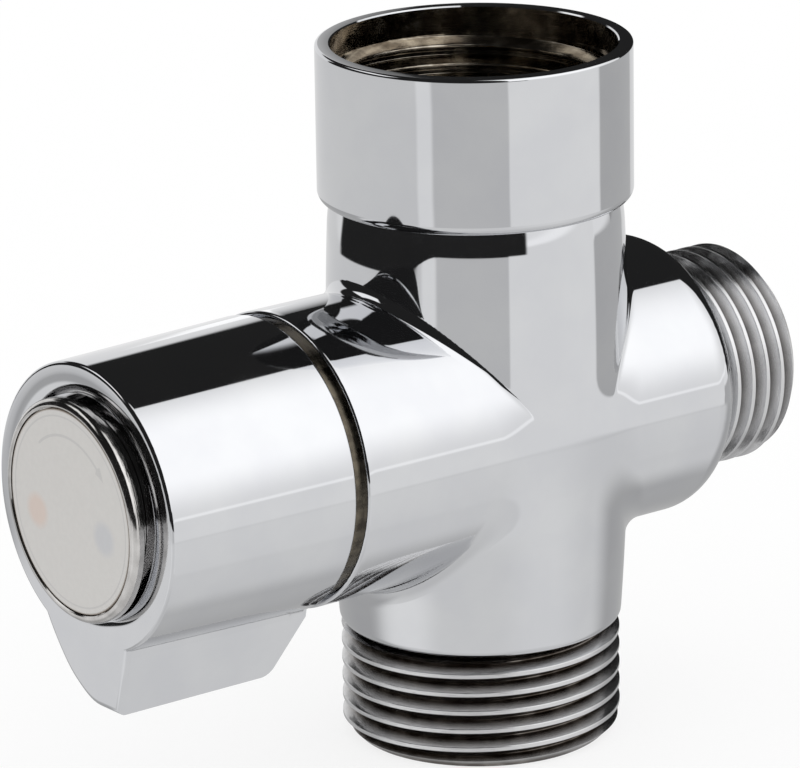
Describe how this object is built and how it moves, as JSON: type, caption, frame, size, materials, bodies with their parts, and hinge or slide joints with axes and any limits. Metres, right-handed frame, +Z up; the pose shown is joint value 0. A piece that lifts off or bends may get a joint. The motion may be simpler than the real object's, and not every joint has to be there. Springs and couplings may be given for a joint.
{
  "type": "shower diverter valve",
  "caption": "Chromed brass tee valve with a threaded inlet on top, a lever handle at the left, and two threaded outlets, below and at the right.",
  "frame": {"origin": "centre of the bottom outlet's end face, on the axis of the upright pipe", "axes": "+Z up the main pipe, from the bottom outlet to the inlet collar; +X along the cross pipe, from the handle to the side outlet"},
  "size_m": [0.0788, 0.0296, 0.0672],
  "materials": {
    "body_chrome": "polished chrome plate on forged brass",
    "handle_chrome": "polished chrome plate on a zinc casting",
    "cap_chrome": "polished chrome plate, turned",
    "plate_print": "satin, printed with a faint arrow",
    "bare_brass": "turned, thinly nickelled",
    "stainless": "bright",
    "black_rubber": "smooth moulded",
    "white_plastic": "smooth moulded",
    "ceramic": "lapped"
  },
  "bodies": {
    "valve": {"valve_body": "body_chrome", "inlet_washer": "black_rubber", "inlet_strainer": "stainless", "bonnet": "bare_brass", "bonnet_seal": "black_rubber", "thrust_washer": "white_plastic", "cartridge_cage": "white_plastic", "cage_seal": "black_rubber", "fixed_disc": "ceramic", "port_seal": "black_rubber", "seat_gasket": "black_rubber"},
    "handle": {"lever_handle": "handle_chrome", "index_cap": "cap_chrome", "index_plate": "plate_print", "handle_screw": "stainless", "screw_washer": "stainless", "spindle": "bare_brass", "spindle_circlip": "stainless", "spindle_seal_front": "black_rubber", "spindle_seal_rear": "black_rubber", "moving_disc": "ceramic"}
  },
  "joints": [
    {"name": "handle_turn", "type": "hinge", "parent": "valve", "child": "handle", "pos_m": [-0.035, 0, 0.0313], "axis": [1, 0, 0], "range_deg": [-90, 90]}
  ]
}
